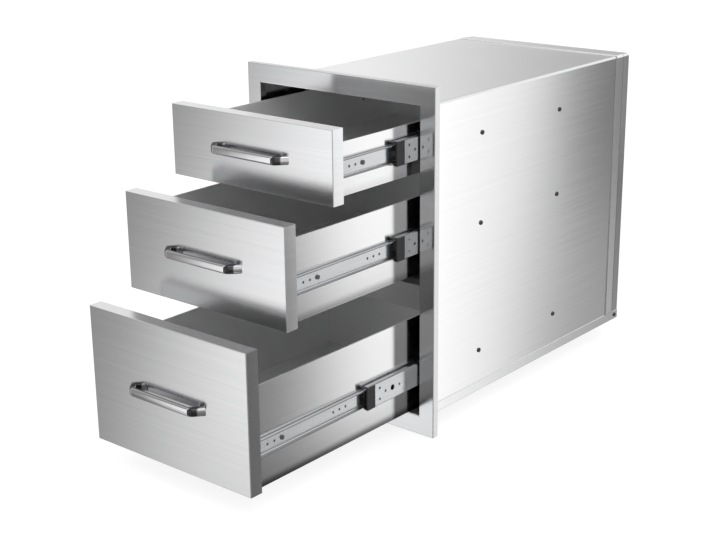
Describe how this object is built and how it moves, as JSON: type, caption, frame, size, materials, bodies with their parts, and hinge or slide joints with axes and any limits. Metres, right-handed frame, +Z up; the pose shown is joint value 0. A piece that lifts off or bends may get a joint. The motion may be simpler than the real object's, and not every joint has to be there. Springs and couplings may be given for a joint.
{
  "type": "outdoor kitchen drawer unit",
  "caption": "Built-in outdoor kitchen drawer unit in brushed stainless sheet: flanged face frame, cabinet behind it, and stacked drawers on telescopic ball slides with chrome pulls.",
  "frame": {"origin": "middle of the face frame's bottom edge, on the plane where its rear lips seat on the island", "axes": "+X to the right as seen from the front, +Y from the front into the island, +Z up"},
  "size_m": [0.3556, 0.9345, 0.5238],
  "materials": {
    "face_steel": "brushed",
    "cabinet_steel": "satin",
    "box_steel": "satin",
    "handle_chrome": "polished",
    "slide_zinc": "zinc plated",
    "cage_steel": "satin",
    "stop_plastic": "moulded",
    "screw_steel": "satin"
  },
  "bodies": {
    "cabinet": {"face_frame": "face_steel", "cabinet_wrap": "cabinet_steel", "bottom_tray": "cabinet_steel", "back_cover": "cabinet_steel", "cross_rail": "cabinet_steel", "wall_screws": "screw_steel", "cover_screws": "screw_steel", "front_upright_left": "cabinet_steel", "front_upright_right": "cabinet_steel", "rear_upright_left": "cabinet_steel", "rear_upright_right": "cabinet_steel", "bottom_cabinet_member_left": "slide_zinc", "bottom_cabinet_member_right": "slide_zinc", "middle_cabinet_member_left": "slide_zinc", "middle_cabinet_member_right": "slide_zinc", "top_cabinet_member_left": "slide_zinc", "top_cabinet_member_right": "slide_zinc"},
    "bottom_runner": {"bottom_middle_member_left": "slide_zinc", "bottom_middle_member_right": "slide_zinc", "bottom_end_stops": "stop_plastic"},
    "bottom_drawer": {"bottom_front_panel": "face_steel", "bottom_front_liner": "box_steel", "bottom_box_front": "box_steel", "bottom_box_shell": "box_steel", "bottom_handle": "handle_chrome", "bottom_handle_screws": "screw_steel", "bottom_member_screws": "screw_steel", "bottom_drawer_member_left": "slide_zinc", "bottom_drawer_member_right": "slide_zinc"},
    "bottom_outer_carriage": {"bottom_outer_cages": "cage_steel"},
    "bottom_inner_carriage": {"bottom_inner_cages": "cage_steel"},
    "middle_runner": {"middle_middle_member_left": "slide_zinc", "middle_middle_member_right": "slide_zinc", "middle_end_stops": "stop_plastic"},
    "middle_drawer": {"middle_front_panel": "face_steel", "middle_front_liner": "box_steel", "middle_box_front": "box_steel", "middle_box_shell": "box_steel", "middle_handle": "handle_chrome", "middle_handle_screws": "screw_steel", "middle_member_screws": "screw_steel", "middle_drawer_member_left": "slide_zinc", "middle_drawer_member_right": "slide_zinc"},
    "middle_outer_carriage": {"middle_outer_cages": "cage_steel"},
    "middle_inner_carriage": {"middle_inner_cages": "cage_steel"},
    "top_runner": {"top_middle_member_left": "slide_zinc", "top_middle_member_right": "slide_zinc", "top_end_stops": "stop_plastic"},
    "top_drawer": {"top_front_panel": "face_steel", "top_front_liner": "box_steel", "top_box_front": "box_steel", "top_box_shell": "box_steel", "top_handle": "handle_chrome", "top_handle_screws": "screw_steel", "top_member_screws": "screw_steel", "top_drawer_member_left": "slide_zinc", "top_drawer_member_right": "slide_zinc"},
    "top_outer_carriage": {"top_outer_cages": "cage_steel"},
    "top_inner_carriage": {"top_inner_cages": "cage_steel"}
  },
  "joints": [
    {"name": "bottom_runner_slide", "type": "slide", "parent": "cabinet", "child": "bottom_runner", "axis": [0, -1, 0], "range_m": [-0.142, 0.083]},
    {"name": "bottom_drawer_slide", "type": "slide", "parent": "bottom_runner", "child": "bottom_drawer", "axis": [0, -1, 0], "range_m": [-0.215, 0.01]},
    {"name": "bottom_outer_cage_slide", "type": "slide", "parent": "cabinet", "child": "bottom_outer_carriage", "axis": [0, -1, 0], "range_m": [-0.0711, 0.0416]},
    {"name": "bottom_inner_cage_slide", "type": "slide", "parent": "bottom_runner", "child": "bottom_inner_carriage", "axis": [0, -1, 0], "range_m": [-0.1076, 0.0051]},
    {"name": "middle_runner_slide", "type": "slide", "parent": "cabinet", "child": "middle_runner", "axis": [0, -1, 0], "range_m": [-0.074, 0.151]},
    {"name": "middle_drawer_slide", "type": "slide", "parent": "middle_runner", "child": "middle_drawer", "axis": [0, -1, 0], "range_m": [-0.206, 0.019]},
    {"name": "middle_outer_cage_slide", "type": "slide", "parent": "cabinet", "child": "middle_outer_carriage", "axis": [0, -1, 0], "range_m": [-0.0371, 0.0756]},
    {"name": "middle_inner_cage_slide", "type": "slide", "parent": "middle_runner", "child": "middle_inner_carriage", "axis": [0, -1, 0], "range_m": [-0.1031, 0.0096]},
    {"name": "top_runner_slide", "type": "slide", "parent": "cabinet", "child": "top_runner", "axis": [0, -1, 0], "range_m": [-0.074, 0.151]},
    {"name": "top_drawer_slide", "type": "slide", "parent": "top_runner", "child": "top_drawer", "axis": [0, -1, 0], "range_m": [-0.1105, 0.1145]},
    {"name": "top_outer_cage_slide", "type": "slide", "parent": "cabinet", "child": "top_outer_carriage", "axis": [0, -1, 0], "range_m": [-0.0371, 0.0756]},
    {"name": "top_inner_cage_slide", "type": "slide", "parent": "top_runner", "child": "top_inner_carriage", "axis": [0, -1, 0], "range_m": [-0.05535, 0.05735]}
  ],
  "couplings": [
    {"joint": "bottom_outer_cage_slide", "follows": "bottom_runner_slide", "ratio": 0.5},
    {"joint": "bottom_inner_cage_slide", "follows": "bottom_drawer_slide", "ratio": 0.5},
    {"joint": "middle_outer_cage_slide", "follows": "middle_runner_slide", "ratio": 0.5},
    {"joint": "middle_inner_cage_slide", "follows": "middle_drawer_slide", "ratio": 0.5},
    {"joint": "top_outer_cage_slide", "follows": "top_runner_slide", "ratio": 0.5},
    {"joint": "top_inner_cage_slide", "follows": "top_drawer_slide", "ratio": 0.5}
  ]
}
